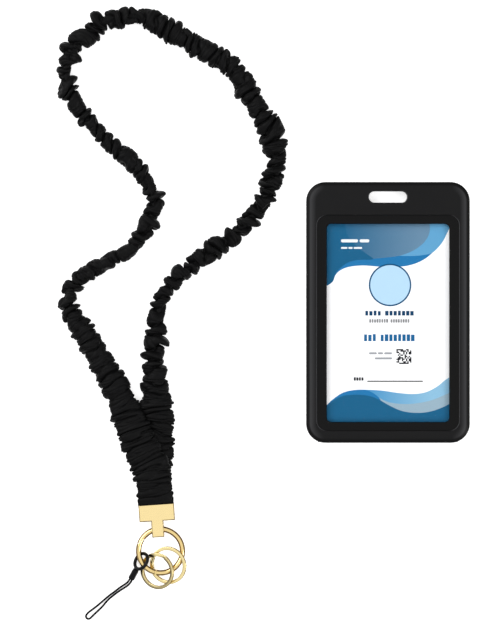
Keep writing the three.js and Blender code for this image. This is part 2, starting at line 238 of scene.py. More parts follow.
# ---------- materials ----------
class Surface:
    """A node material with one Principled shader, and short calls for what feeds it."""

    def __init__(self, name, **values):
        self.material = bpy.data.materials.new(name)
        self.material.use_nodes = True
        self.nodes = self.material.node_tree.nodes
        self.links = self.material.node_tree.links
        self.shader = self.nodes["Principled BSDF"]
        for key, value in values.items():
            self.shader.inputs[key.replace("_", " ")].default_value = value
        self.place = self.nodes.new("ShaderNodeTexCoord").outputs["Object"]

    def add(self, kind, inputs=None, **settings):
        node = self.nodes.new(kind)
        for key, value in settings.items():
            setattr(node, key, value)
        for key, value in (inputs or {}).items():
            if isinstance(value, bpy.types.NodeSocket):
                self.links.new(value, node.inputs[key])
            else:
                node.inputs[key].default_value = value
        return node

    def noise(self, scale, detail=3, roughness=0.55):
        values = {"Vector": self.place, "Scale": scale, "Detail": detail, "Roughness": roughness}
        return self.add("ShaderNodeTexNoise", values).outputs["Fac"]

    def ramp(self, value, low, high, from_min=0.3, from_max=0.7):
        node = self.add("ShaderNodeMapRange", {
            "Value": value, "From Min": from_min, "From Max": from_max, "To Min": low, "To Max": high})
        return node.outputs["Result"]

    def blend(self, value, first, second):
        node = self.add("ShaderNodeMix", {"Factor": value}, data_type="RGBA")
        node.inputs[6].default_value = (*first, 1)
        node.inputs[7].default_value = (*second, 1)
        return node.outputs[2]

    def math(self, operation, first, second):
        return self.add("ShaderNodeMath", {0: first, 1: second}, operation=operation).outputs[0]

    def upward(self):
        """How far the surface faces up: 1 where it is level, 0 where it is upright."""
        shape = self.add("ShaderNodeNewGeometry").outputs["Normal"]
        return self.add("ShaderNodeSeparateXYZ", {"Vector": shape}).outputs["Z"]

    def bump(self, height, distance, strength=1.0):
        values = {"Height": height, "Distance": distance * MM, "Strength": strength}
        if self.shader.inputs["Normal"].is_linked:
            values["Normal"] = self.shader.inputs["Normal"].links[0].from_socket
        node = self.add("ShaderNodeBump", values)
        self.links.new(node.outputs["Normal"], self.shader.inputs["Normal"])

    def feed(self, key, socket):
        self.links.new(socket, self.shader.inputs[key])


def fabric_material():
    """Black matt-satin cloth: a fine weave, slightly uneven dye and a soft sheen."""
    s = Surface("strap_cloth", Sheen_Weight=0.01, Sheen_Roughness=0.4, Specular_IOR_Level=0.09)
    s.feed("Base Color", s.blend(s.noise(260, 4), (0.0014, 0.0014, 0.0015), (0.003, 0.003, 0.0032)))
    s.feed("Roughness", s.ramp(s.noise(900, 2), 0.42, 0.58))
    warp = s.add("ShaderNodeTexWave", {"Vector": s.place, "Scale": 820, "Distortion": 0.6, "Detail": 1},
                 bands_direction="X").outputs["Fac"]
    weft = s.add("ShaderNodeTexWave", {"Vector": s.place, "Scale": 820, "Distortion": 0.6, "Detail": 1},
                 bands_direction="Y").outputs["Fac"]
    s.bump(s.math("MULTIPLY", warp, weft), 0.05, 0.5)
    s.bump(s.noise(420, 4), 0.12, 0.45)
    return s.material


def gold_material(name, color, roughness):
    """Polished gold plate: faint haze, tiny scratches, and a painted dark reflection, dark brown, where the
    surface slopes.
    """
    s = Surface(name, Metallic=1.0, Specular_Tint=(0.32, 0.17, 0.06, 1))
    darker = tuple(c * 0.93 for c in color)
    plate = s.blend(s.noise(140, 3), darker, color)
    slope = s.upward()
    # Painted reflection: dark brown base colour where the surface tilts away from level, standing in for the
    # dark horizon mirrored in the metal.
    edges = s.math("MULTIPLY", s.ramp(slope, 0.25, 1, 0.0, 0.16), s.ramp(slope, 1, 0, 0.55, 0.92))
    painted_dark_reflection = s.blend(edges, color, (0.085, 0.045, 0.012))
    s.links.new(plate, painted_dark_reflection.node.inputs[6])
    s.feed("Base Color", painted_dark_reflection)
    haze = s.noise(600, 4, 0.7)
    s.feed("Roughness", s.ramp(haze, roughness * 0.75, roughness * 1.5))
    s.bump(s.noise(95, 2), 0.02, 0.25)
    s.bump(s.noise(2400, 2), 0.004, 0.3)
    return s.material


def plastic_material(name, color, roughness, grain, painted_light_factor=1.0, low=0.0):
    """Moulded black plastic with a fine grain and a mottled tone.

    It has a painted highlight, lighter by the factor given, where it slopes away to its sides, and painted
    shade below the height low, where its recess lies.
    """
    s = Surface(name, Specular_IOR_Level=0.12)
    lighter = tuple(c * 1.35 for c in color)
    normal = s.add("ShaderNodeNewGeometry").outputs["Normal"]
    sideways = s.add("ShaderNodeSeparateXYZ", {"Vector": normal}).outputs["X"]
    slope = s.ramp(s.math("ABSOLUTE", sideways, 0.0), 0, 1, 0.02, 0.6)
    # Painted highlight: the base colour is raised where the surface faces sideways.
    painted_side_light = s.blend(slope, color, tuple(c * painted_light_factor for c in color))
    s.links.new(s.blend(s.noise(60, 4), color, lighter), painted_side_light.node.inputs[6])
    height = s.add("ShaderNodeSeparateXYZ", {"Vector": s.place}).outputs["Z"]
    # Painted shade: the base colour drops to 0.4 times below the height low, in the recess.
    painted_recess_shade = s.blend(s.ramp(height, 1, 0, (low - 0.3) * MM, low * MM), color, tuple(c * 0.4 for c in color))
    s.links.new(painted_side_light, painted_recess_shade.node.inputs[6])
    s.feed("Base Color", painted_recess_shade)
    s.feed("Roughness", s.ramp(s.noise(45, 5, 0.65), roughness - 0.05, roughness + 0.07))
    s.bump(s.noise(grain, 3, 0.6), 0.03, 0.35)
    return s.material


def cord_material(name, across):
    """Braided or woven black cord: crossed strands at a slant."""
    s = Surface(name, Roughness=0.6, Sheen_Weight=0.01, Sheen_Roughness=0.5, Specular_IOR_Level=0.1)
    s.feed("Base Color", s.blend(s.noise(1500, 3), (0.0015, 0.0015, 0.0015), (0.0035, 0.0035, 0.004)))
    strands = s.add("ShaderNodeTexWave", {"Vector": s.place, "Scale": across, "Distortion": 1.5, "Detail": 1},
                    bands_direction="DIAGONAL").outputs["Fac"]
    s.bump(strands, 0.08, 0.7)
    return s.material


def steel_material():
    s = Surface("spring_wire", Metallic=1.0)
    s.feed("Base Color", s.blend(s.noise(900, 3), (0.5, 0.5, 0.52), (0.62, 0.62, 0.64)))
    s.feed("Roughness", s.ramp(s.noise(2600, 2), 0.22, 0.36))
    s.bump(s.noise(4000, 2), 0.004, 0.3)
    return s.material


def clear_material():
    """Clear acrylic, seen only by its faint gloss and a few hairline marks."""
    s = Surface("clear_window", Base_Color=(0.1, 0.1, 0.1, 1), Alpha=0.02, Specular_IOR_Level=0.3)
    s.feed("Roughness", s.ramp(s.noise(120, 5, 0.7), 0.04, 0.16))
    s.bump(s.noise(30, 2), 0.01, 0.1)
    return s.material


def print_material(name, color, spread=0.04):
    """Ink or white stock on a laminated card, with a slight mottle under a satin film."""
    s = Surface(name, Specular_IOR_Level=0.05, Coat_Weight=0.03, Coat_Roughness=0.2)
    darker = tuple(c * (1 - spread) for c in color)
    s.feed("Base Color", s.blend(s.noise(220, 4), darker, color))
    s.feed("Roughness", s.ramp(s.noise(500, 3), 0.34, 0.44))
    s.bump(s.noise(1800, 2), 0.004, 0.25)
    return s.material


def brighten(material, strength):
    """A faint glow that offsets the shadow of the frame on the card."""
    shader = material.node_tree.nodes["Principled BSDF"]
    shader.inputs["Emission Color"].default_value = (1, 1, 1, 1)
    shader.inputs["Emission Strength"].default_value = strength


def graded_ink(name, first, second, start, end):
    """A printed wave whose colour changes from left to right, between two places across the card."""
    s = Surface(name, Specular_IOR_Level=0.05, Coat_Weight=0.03, Coat_Roughness=0.2)
    across = s.add("ShaderNodeSeparateXYZ", {"Vector": s.place}).outputs["X"]
    share = s.ramp(across, 0, 1, (HOLDER_X + start) * MM, (HOLDER_X + end) * MM)
    mottled = s.math("MULTIPLY_ADD", s.noise(220, 4), 0.06)
    mottled.node.inputs[2].default_value = 0
    s.feed("Base Color", s.blend(s.math("ADD", share, mottled), first, second))
    s.feed("Roughness", s.ramp(s.noise(500, 3), 0.34, 0.44))
    return s.material


CLOTH = fabric_material()
CLAMP_GOLD = gold_material("clamp_gold", (0.98, 0.785, 0.39), 0.12)
RING_GOLD = gold_material("ring_gold", (0.9, 0.68, 0.3), 0.08)
KEY_GOLD = gold_material("key_ring_gold", (0.92, 0.76, 0.38), 0.14)
TETHER_PLASTIC = plastic_material("tether_plastic", (0.005, 0.005, 0.0055), 0.36, 2600)
# The holder's sloping edges carry a painted highlight 13 times lighter, and below 6.5 mm its recess carries
# painted shade.
HOLDER_PLASTIC = plastic_material("holder_plastic", (0.005, 0.005, 0.0053), 0.38, 2200, painted_light_factor=13.0, low=6.5)
COVER_PLASTIC = plastic_material("cover_plastic", (0.005, 0.005, 0.0053), 0.38, 2200)
TETHER_CORD = cord_material("tether_cord", 900)
ELASTIC = cord_material("elastic_core", 500)
SPRING_STEEL = steel_material()
CLEAR = clear_material()


# ---------- gathered fabric ----------
def drift(random, along, size, pitch):
    """A smooth random wander along the strap, of about the given size, over several folds' length."""
    waves = [pitch * share * random.uniform(0.85, 1.15) for share in (2.1, 3.4, 5.6)]
    return size * sum(np.sin(2 * math.pi * along / w + random.uniform(0, 6.28)) for w in waves)


def folds(random, along, angle, pitch, alternate, wander, one_sided, lean):
    """One set of folds round a tube: their height from 0 to about 1, and how far each leans along it.

    The folds meander: they cross from one side to the other with a random slant, and where alternate
    is 1 a fold on the left faces a crease on the right. Each fold has its own height, width, plumpness
    and lean, and the alternating ones stand apart, with wide creases between them.
    """
    usual = float(pitch.mean())
    phase = np.cumsum(np.concatenate([[0], np.diff(along) / pitch[1:]]))[:, None]
    phase = phase + 0.25 * alternate[:, None] * np.cos(angle)[None, :]
    for harmonic, amount in ((1, 1.0), (2, 0.55), (3, 0.4)):
        for turned in (np.cos, np.sin):
            shift = drift(random, along, amount, usual) * wander
            phase = phase + shift[:, None] * turned(harmonic * angle)[None, :]
    phase = phase + drift(random, along, 0.16, usual)[:, None]
    number = np.floor(phase).astype(int)
    first = number.min()
    number -= first
    count = number.max() + 1
    u = 2 * (phase - first - number) - 1

    def each(values):
        return values[number]

    facing = random.uniform(0, 2 * math.pi, count)
    share = random.uniform(0.1, 0.9, count) * one_sided
    sided = (1 + each(share) * np.cos(angle[None, :] - each(facing))) / (1 + 0.4 * each(share))
    apart = alternate[:, None]
    width = each(random.uniform(0.86, 1.0, count)) - apart * each(random.uniform(0.0, 0.22, count))
    plump = each(random.uniform(0.38, 0.72, count))
    dome = np.clip(1 - (u / width) ** 2, 0, None) ** plump * sided * each(random.uniform(0.55, 1.15, count))
    turn = np.cos(angle[None, :] - each(random.uniform(0, 6.28, count)))
    tip = np.clip(dome, 0, 1.3) ** 1.3
    offset = 0.1 * u * np.clip(dome, 0, 1.2) + each(random.normal(0, lean, count)) * turn * tip
    return dome, offset * pitch[:, None]


def gathered_tube(name, line, profile, seed, columns, calm_ends=0.0, furthest=30.0):
    """A cloth tube gathered along a line into pleats and lobes.

    profile rows are: distance along, half width, half height, length of a fold on one side, how deep
    the folds are, how far the folds of the two sides alternate, and the share of the finer pleats.
    furthest is how far from the line the cloth may stand.
    """
    random = np.random.default_rng(seed)
    table = np.asarray(profile, float)
    along = np.concatenate([[0], np.cumsum(np.linalg.norm(np.diff(line, axis=0), axis=1))])
    total = along[-1]
    half_width, half_height, pitch, depth, alternate, share = (
        np.interp(along, table[:, 0], table[:, k]) for k in range(1, 7))
    angle = np.arange(columns) * 2 * math.pi / columns
    even = np.ones_like(along)
    big, big_lean = folds(random, along, angle, pitch, alternate, 0.12 * even, 0.7, 0.15)
    fine, fine_lean = folds(random, along, angle, pitch * 0.42, alternate * 0.3, 0.2 * even, 0.7, 0.15)
    tiny, _ = folds(random, along, angle, 1.3 * even, alternate * 0, 0.3 * even, 0.9, 0)
    share = share[:, None]
    height = (1 - share) * big + share * fine
    lean = big_lean * (1 - 0.4 * share) + 0.6 * fine_lean
    inward = depth[:, None] * (1 - height) - 0.045 * tiny
    inward -= drift(random, along, 0.04, 14)[:, None] * half_width[:, None]
    if calm_ends:
        fade = np.clip((total - along) / calm_ends, 0, 1)[:, None]
        inward, lean = inward * fade, lean * fade
    tangent, sideways, upward = side_frames(line)
    flat = np.clip(half_height / half_width, 0, 1)[:, None]
    x = np.maximum(half_width[:, None] - inward, 1.6) * np.cos(angle)
    z = (half_height[:, None] - inward * (0.6 + 0.25 * flat)) * np.sin(angle)
    shrink = np.minimum(1, furthest / np.hypot(x, z))
    x, z = x * shrink, z * shrink
    points = (line[:, None, :] + x[:, :, None] * sideways[:, None, :] + z[:, :, None] * upward[:, None, :]
              + lean[:, :, None] * tangent[:, None, :])
    lowest = 0.22 + 0.12 * np.clip(height, 0, 1)
    points[:, :, 2] = np.maximum(points[:, :, 2], lowest)
    faces = grid_faces(len(line), columns)
    return new_object(name, points.reshape(-1, 3), faces, [CLOTH])


STRAP_ROUTE = [
    [-80, -44.5], [-86, -33], [-98, -13], [-104.5, -4], [-107.5, 6.5], [-104, 15], [-94.5, 23],
    [-73.5, 34.5], [-66.5, 41.5], [-61.5, 50.5], [-59.5, 59.5], [-63, 69.5], [-69.5, 79], [-88.5, 96.5],
    [-97.5, 106.5], [-105.5, 118.5], [-108.5, 129.5], [-107.5, 139.5], [-101.5, 149], [-93, 155.5],
    [-84.5, 161], [-73.5, 162.5], [-63, 161], [-54, 156], [-43.5, 150.5], [-31.5, 143.5],
    [-19.5, 135.5], [-11.5, 125], [2, 102], [6.5, 90], [7, 78], [2.5, 65.5], [-12.5, 45],
    [-36.5, 27], [-47.5, 19], [-54, 10.5], [-57.5, 1], [-60, -18.5], [-60.5, -27.5], [-59.5, -44.5],
]
STRAP_DIAMETER = 10.5
STRAP_REACH = 8.3      # the furthest its cloth stands from the centreline
STRAP_SEED, LEFT_END_SEED, RIGHT_END_SEED = 26, 21, 34
STRAP_COLUMNS, END_COLUMNS = 60, 72

# Distance along from the left side of the V, half width, half height, length of a fold, its depth, how far
# the two sides alternate, and the share of finer pleats.
STRAP_GATHERS = [
    (0, 8.8, 4.9, 5.4, 2.8, 0.4, 0.3), (28, 8.1, 4.9, 5.4, 3.1, 0.6, 0.26),
    (45, 7.2, 4.9, 5.6, 3.4, 0.8, 0.2), (67, 6.3, 4.8, 6.8, 4.0, 0.9, 0.16),
    (84, 5.3, 4.6, 7.4, 2.7, 0.8, 0.18), (104, 5.0, 4.5, 7.4, 2.5, 0.8, 0.18),
    (118, 6.0, 4.9, 7.0, 4.0, 1, 0.14), (134, 7.3, 5.0, 7.2, 5.0, 1, 0.12),
    (150, 6.8, 5.0, 6.8, 4.6, 1, 0.14), (175, 6.5, 5.0, 6.6, 4.4, 1, 0.14),
    (200, 6.7, 5.0, 6.6, 4.5, 1, 0.14), (222, 7.0, 5.0, 6.8, 4.8, 1, 0.14),
    (240, 6.9, 5.0, 7.2, 4.7, 1, 0.12), (262, 7.3, 5.1, 7.0, 5.0, 1, 0.12),
    (282, 7.7, 5.1, 6.4, 4.7, 1, 0.15), (300, 7.8, 5.1, 5.8, 4.1, 0.8, 0.18),
    (330, 7.9, 5.2, 5.8, 4.1, 0.8, 0.18), (360, 7.9, 5.2, 6.2, 4.3, 0.8, 0.17),
    (385, 7.5, 5.1, 6.4, 4.4, 0.9, 0.16), (415, 6.9, 5.0, 6.4, 4.5, 1, 0.16),
    (445, 6.4, 4.9, 6.6, 4.4, 1, 0.15), (478, 6.2, 4.9, 6.8, 4.4, 1, 0.14),
    (496, 5.7, 4.7, 7.0, 3.9, 1, 0.14), (508, 6.8, 4.9, 7.0, 5.0, 1, 0.12),
    (524, 7.6, 4.9, 6.8, 5.2, 1, 0.12), (538, 7.9, 4.9, 6.2, 4.6, 0.9, 0.16),
    (548, 8.2, 4.9, 5.8, 3.2, 0.5, 0.26), (570, 8.6, 4.9, 5.4, 2.8, 0.4, 0.3),
]


def make_strap():
    route = np.array([[x, y, STRAP_DIAMETER / 2 - 0.3] for x, y in STRAP_ROUTE]) + LAYOUT_SHIFT
    line = catmull_rom(route, 0.26)
    strap = gathered_tube("strap_ruched_loop", line, STRAP_GATHERS, STRAP_SEED, STRAP_COLUMNS,
                          furthest=STRAP_REACH)
    finish_piece(strap, "lanyard", "strap_fabric", "strap_loop")
    return strap, line


# Routes of the two ends, from inside the loop's last folds into the clamp, [x, y, z].
LEFT_END_ROUTE = [
    [-81.5, -41.5, 5.2], [-77.5, -49.5, 5.6], [-73.6, -59, 6.9], [-70.2, -68.5, 7.4], [-66.4, -77.5, 7.5],
    [-62.4, -86.5, 7.4], [-60.3, -95, 7], [-59.2, -103, 6.3], [-58.9, -107, 6.12], [-58.5, -114.5, 6.12],
]
LEFT_END_GATHERS = [
    (0, 8.7, 4.6, 5.4, 2.8, 0.4, 0.3), (12, 9.9, 4.2, 5.2, 3.1, 0.4, 0.3),
    (24, 10.5, 3.9, 5.0, 3.3, 0.4, 0.3), (40, 10.8, 3.7, 4.9, 3.2, 0.4, 0.3),
    (52, 11.1, 3.5, 4.8, 3.0, 0.4, 0.3), (62, 10.9, 2.7, 4.8, 2.3, 0.3, 0.3),
    (69, 10.2, 1.4, 4.8, 1.0, 0.2, 0.2), (72, 9.5, 0.58, 5.0, 0.1, 0.2, 0.2),
    (90, 9.5, 0.58, 5.0, 0.1, 0.2, 0.2),
]
RIGHT_END_ROUTE = [
    [-59.6, -41, 4.9], [-59.2, -49.5, 4.4], [-58.7, -58, 3.3], [-59.4, -68, 2.9], [-59.8, -78, 2.9],
    [-59.6, -88, 3], [-59.4, -97, 3.6], [-59.1, -103.5, 4.5], [-58.9, -107, 4.68], [-58.5, -114.5, 4.68],
]
RIGHT_END_GATHERS = [
    (0, 8.3, 4.6, 5.4, 2.8, 0.4, 0.3), (10, 9.5, 4.0, 5.2, 3.0, 0.4, 0.3),
    (20, 10.6, 3.5, 5.0, 3.1, 0.4, 0.3), (40, 11.2, 3.1, 4.9, 3.0, 0.4, 0.3),
    (50, 11.2, 2.9, 4.8, 2.8, 0.4, 0.3), (58, 10.8, 2.0, 4.8, 1.9, 0.3, 0.3),
    (63, 10.1, 1.0, 4.8, 0.8, 0.2, 0.2), (66, 9.5, 0.58, 5.0, 0.1, 0.2, 0.2),
    (90, 9.5, 0.58, 5.0, 0.1, 0.2, 0.2),
]


def make_strap_ends():
    pieces = []
    for name, node, route, gathers, seed in (
        ("strap_left_end", "strap_end_left", LEFT_END_ROUTE, LEFT_END_GATHERS, LEFT_END_SEED),
        ("strap_right_end", "strap_end_right", RIGHT_END_ROUTE, RIGHT_END_GATHERS, RIGHT_END_SEED),
    ):
        line = catmull_rom(np.array(route) + LAYOUT_SHIFT, 0.28)
        piece = gathered_tube(name, line, gathers, seed, END_COLUMNS, calm_ends=7.0)
        finish_piece(piece, "lanyard", "strap_fabric", node)
        pieces.append(piece)
    return pieces


strap, strap_line = make_strap()
strap_ends = make_strap_ends()

# Centreline of the tether's cord, out of the sleeve, round the open loop and back.
TETHER_ROUTE = [
    [-72.06, -144.41, 3.78], [-73.35, -146.85, 2.62], [-74.2, -148.3, 1.6], [-75.4, -149.6, 0.8],
    [-77, -150.7, 0.5], [-79.2, -152.2, 0.5], [-82.2, -154.5, 0.5], [-85.2, -156.7, 0.5],
    [-88.6, -159.6, 0.5], [-91.9, -162.4, 0.5], [-94.8, -164.6, 0.5], [-96.9, -166.3, 0.5],
    [-97.8, -167.9, 0.5], [-97.2, -169.2, 0.5], [-95.8, -169.2, 0.5], [-93.8, -167.4, 0.5],
    [-91.4, -165.1, 0.5], [-88.8, -162.6, 0.5], [-85.6, -158.9, 0.5], [-82.3, -156.1, 0.5],
    [-79, -153.7, 0.5], [-76.3, -152, 0.5], [-74.5, -150.7, 0.8], [-73.2, -149.2, 1.6],
    [-72.25, -147.43, 2.62], [-70.96, -144.99, 3.78],
]
TETHER_BRAID = 1.1     # over the fluff of the braid


def make_tether_cord():
    line = catmull_rom(np.array(TETHER_ROUTE) + LAYOUT_SHIFT, 0.12)
    cord = sweep("tether_braid", line + (0, 0, 0.07), circle_points(TETHER_BRAID / 2, 14), [TETHER_CORD])
    finish_piece(cord, "tether", "tether_cord", "tether_cord")


make_tether_cord()


# ---------- clamp ----------
# Half width of the stem and of the plate, and how far they reach from the centre of the eye.
STEM, STEM_REACH = 3.3, (-4.1, 4.8)
PLATE, PLATE_TOP = 9.75, 14.1
FACE_LOW, FACE_EDGE, FACE_HIGH, CHAMFER = 7.8, 8.05, 8.6, 0.42


def make_clamp():
    """The folded sheet with its cut edges broken, and its flat front face that runs down over the eye."""
    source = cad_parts["ribbon_clamp"]
    clamp = bpy.data.objects.new("clamp_plate", source.data.copy())
    bpy.context.scene.collection.objects.link(clamp)
    clamp.data.materials.clear()
    clamp.data.materials.append(CLAMP_GOLD)
    soften(clamp, 0.3, 3, 35)
    finish_piece(clamp, "lanyard", "gold_clamp", "ribbon_clamp")
    turn = math.radians(CLAMP_TURN)
    turned = np.array([[math.cos(turn), math.sin(turn)], [-math.sin(turn), math.cos(turn)]])

    def outline(inwards):
        stem, plate, top = STEM - inwards, PLATE - inwards, PLATE_TOP - inwards
        low, shoulder = STEM_REACH[0] + inwards, STEM_REACH[1] + inwards
        return np.array([[-stem, low], [stem, low], [stem, shoulder], [plate, shoulder],
                         [plate, top], [-plate, top], [-plate, shoulder], [-stem, shoulder]]) @ turned

    eye = (RING_CENTER + polar(RING_RADIUS - 0.2, EYE_ANGLE))[:2]
    edges = [(outline(0), FACE_LOW), (outline(0), FACE_EDGE), (outline(CHAMFER), FACE_HIGH)]
    face = loft("clamp_face", edges, [CLAMP_GOLD], eye, smooth=False)
    soften(face, 0.1, 2, 25)
    finish_piece(face, "lanyard", "gold_clamp")


# ---------- gate ring ----------
def ring_arc(start, end, count):
    return np.array([polar(RING_RADIUS, a) for a in np.linspace(start, end, count)])


def upright(name, radius, length, at, sides=40):
    """A standing cylinder in the ring's own frame."""
    outline = circle_points(radius, sides) + at[:2]
    return loft(name, [(outline, -length / 2), (outline, length / 2)], [], smooth=False)


def scarf_tool(side):
    """The half space on one side of the scarf plane at the gate's free end."""
    size, gap = 12, 0.2
    low, high = (gap / 2 * -side, size * side)
    half = size / 2
    tool = box_solid("scarf_tool", (-half, min(low, high), -half), (half, max(low, high), half))
    turn = Matrix.Rotation(math.radians(SCARF_ANGLE), 4, "Z")
    tool.data.transform(Matrix.Translation(Vector(polar(RING_RADIUS, TIP_ANGLE) * MM)) @ turn)
    return tool


def make_gate_ring():
    section = circle_points(WIRE / 2, 32)
    per_mm = 180 / (math.pi * RING_RADIUS)
    hinge = polar(RING_RADIUS, HINGE_ANGLE)
    tongue, tip_extra, hole = 1.0, 24, 1.5
    body = sweep("gate_ring_wire", ring_arc(TIP_ANGLE + tip_extra, HINGE_ANGLE - 360 + 1.75 * per_mm, 220),
                 section, [RING_GOLD])
    combine(body, [scarf_tool(-1)])
    stem = sweep("stem", ring_arc(HINGE_ANGLE + 3 * per_mm, HINGE_ANGLE, 12), section, [])
    slab = box_solid("slab", (-20, -20, -tongue / 2), (20, 20, tongue / 2))
    combine(stem, [slab], "INTERSECT")
    combine(body, [stem, upright("boss", WIRE / 2 - 0.05, tongue, hinge)], "UNION")
    combine(body, [upright("hole", hole / 2, 8, hinge)])

    gate = sweep("gate_ring_gate", ring_arc(TIP_ANGLE - tip_extra, HINGE_ANGLE, 110), section, [RING_GOLD])
    combine(gate, [scarf_tool(1)])
    round_end = upright("round_end", WIRE / 2, WIRE, hinge)
    tube_end = sweep("tube_end", ring_arc(HINGE_ANGLE - 10, HINGE_ANGLE + 10, 20), section, [])
    combine(round_end, [tube_end], "INTERSECT")
    combine(gate, [round_end], "UNION")
    bore_line = ring_arc(HINGE_ANGLE - 2, HINGE_ANGLE - 7 * per_mm - 7, 40)
    bore = sweep("bore", bore_line, circle_points(0.85, 16), [])
    combine(gate, [upright("fork", WIRE / 2 + 0.25, tongue + 0.3, hinge), bore,
                   upright("hole", hole / 2, 8, hinge)])
    for piece, body_name, node in ((body, "gate_ring", "gate_ring_body"), (gate, "gate", "gate_arm")):
        piece.data.transform(Matrix.Translation(Vector(RING_CENTER * MM)))
        soften(piece, 0.06, 2, 40)
        piece.data.materials.clear()
        piece.data.materials.append(RING_GOLD)
        finish_piece(piece, body_name, "gold_ring", node)


# ---------- split key rings ----------
KEY_BAND, KEY_TURN, KEY_PITCH = 1.9, 0.68, 0.78
KEY_RINGS = {
    "left": {"radius": 9.2, "center": (-58.4, -142.7, 5.5), "slope": (0.5, 0.16), "climb_at": 60},
    "right": {"radius": 9.5, "center": (-52.4, -139.6, 5.4), "slope": (0.33, 0.145), "climb_at": 105},
}


def make_key_ring(side, radius, center, slope, climb_at):
    """Nearly two turns of flat wire, one on the other, with a short climb between the turns."""
    climb = 40
    angles = np.linspace(climb_at + climb + 8, climb_at + 720 - 4, 420)
    part = np.clip((angles - climb_at - 360) / climb, 0, 1)
    level = KEY_PITCH * (part * part * (3 - 2 * part) - 0.5)
    line = np.array([polar(radius, a) for a in angles])
    line[:, 2] = level
    section = rounded_rectangle(KEY_BAND, KEY_TURN, 0.2, 3)
    ring = sweep(f"split_ring_{side}", line, section, [KEY_GOLD])
    normal = Vector((-slope[0], -slope[1], 1)).normalized()
    turn = Vector((0, 0, 1)).rotation_difference(normal).to_matrix().to_4x4()
    ring.data.transform(Matrix.Translation(Vector((np.array(center) + LAYOUT_SHIFT) * MM)) @ turn)
    shade_by_angle(ring, 50)
    node = f"key_ring_{side}"
    finish_piece(ring, node, "gold_key_ring", node)


# ---------- tether ----------
TETHER_RING, TETHER_BAND = 11.0, 1.9
TETHER_ANGLE, TETHER_LONG_AXIS, TETHER_TILT = 208, 58, 48
SLEEVE, SLEEVE_LENGTH = 3.5, 5.6
SLEEVE_ANGLE, SLEEVE_FALL = 184, -0.42     # its heading on the ring, and how steeply it points down


def lathe(name, profile, count, materials):
    """A solid of revolution about Z. The profile is a closed list of [radius, height] points."""
    profile = np.asarray(profile, float)
    radius, height = profile[:, 0], profile[:, 1]
    rows, faces = [], []
    for k in range(count):
        a = 2 * math.pi * k / count
        rows.append(np.stack([radius * math.cos(a), radius * math.sin(a), height], axis=1))
    size = len(profile)
    for k in range(count):
        n = (k + 1) % count
        for j in range(size):
            m = (j + 1) % size
            faces.append((k * size + j, n * size + j, n * size + m, k * size + m))
    return new_object(name, np.concatenate(rows), faces, materials)


def make_tether():
    middle = (TETHER_RING - TETHER_BAND) / 2
    place = Vector((RING_CENTER + polar(RING_RADIUS, TETHER_ANGLE)) * MM)
    profile = circle_points(TETHER_BAND / 2, 20) + (middle, 0)
    ring = lathe("tether_loop", profile, 72, [TETHER_PLASTIC])
    tilt = Matrix.Rotation(-math.radians(TETHER_TILT), 4, "X")
    turn = Matrix.Rotation(math.radians(TETHER_LONG_AXIS), 4, "Z") @ tilt
    ring.data.transform(Matrix.Translation(place) @ turn)
    finish_piece(ring, "tether", "tether_plastic", "tether_ring")

    start = place + Vector(polar(middle, 180 + TETHER_LONG_AXIS) * MM)
    heading = Vector((*polar(1, SLEEVE_ANGLE + TETHER_LONG_AXIS)[:2], SLEEVE_FALL)).normalized()
    start += heading * (TETHER_BAND / 2 - 0.25) * MM
    outer, bore, reach = SLEEVE / 2, 1.2, SLEEVE_LENGTH + 1.0
    outline = [
        (0.001, 0), (outer * 0.72, 0), (outer * 0.9, 0.25), (outer * 0.94, 0.9), (outer * 0.94, 1.1),
        (outer, 1.35), (outer, reach - 0.35), (outer - 0.12, reach - 0.08), (outer - 0.35, reach),
        (bore + 0.1, reach), (bore, reach - 0.12), (bore, 2.6), (0.001, 2.6),
    ]
    sleeve = lathe("tether_ferrule", outline, 40, [TETHER_PLASTIC])
    aim = Vector((0, 0, 1)).rotation_difference(heading).to_matrix().to_4x4()
    sleeve.data.transform(Matrix.Translation(start) @ aim)
    shade_by_angle(sleeve, 45)
    finish_piece(sleeve, "tether", "tether_plastic", "tether_sleeve")


# ---------- badge holder ----------
HOLDER_CENTER = np.array([HOLDER_X, -0.5]) + LAYOUT_SHIFT[:2]
HOLDER_WIDTH, HOLDER_HEIGHT, HOLDER_THICK, HOLDER_CORNER = 90, 143.5, 7.0, 10.5
WINDOW_OFFSET = -5.8
WINDOW_CENTER = HOLDER_CENTER + (0, WINDOW_OFFSET)
SLOT_OFFSET = 63.5
ABOVE = 12     # a height clear of the holder, where cuts end
BELOW, TRAY_END = -90, 54.3     # from past the lower edge, where the cover slides out, to its stop
LENS_LOW, LENS_HIGH = 4.05, 4.95


def inset(width, height, corner, amount):
    return rounded_rectangle(width - 2 * amount, height - 2 * amount, max(corner - amount, 0.3), 14)


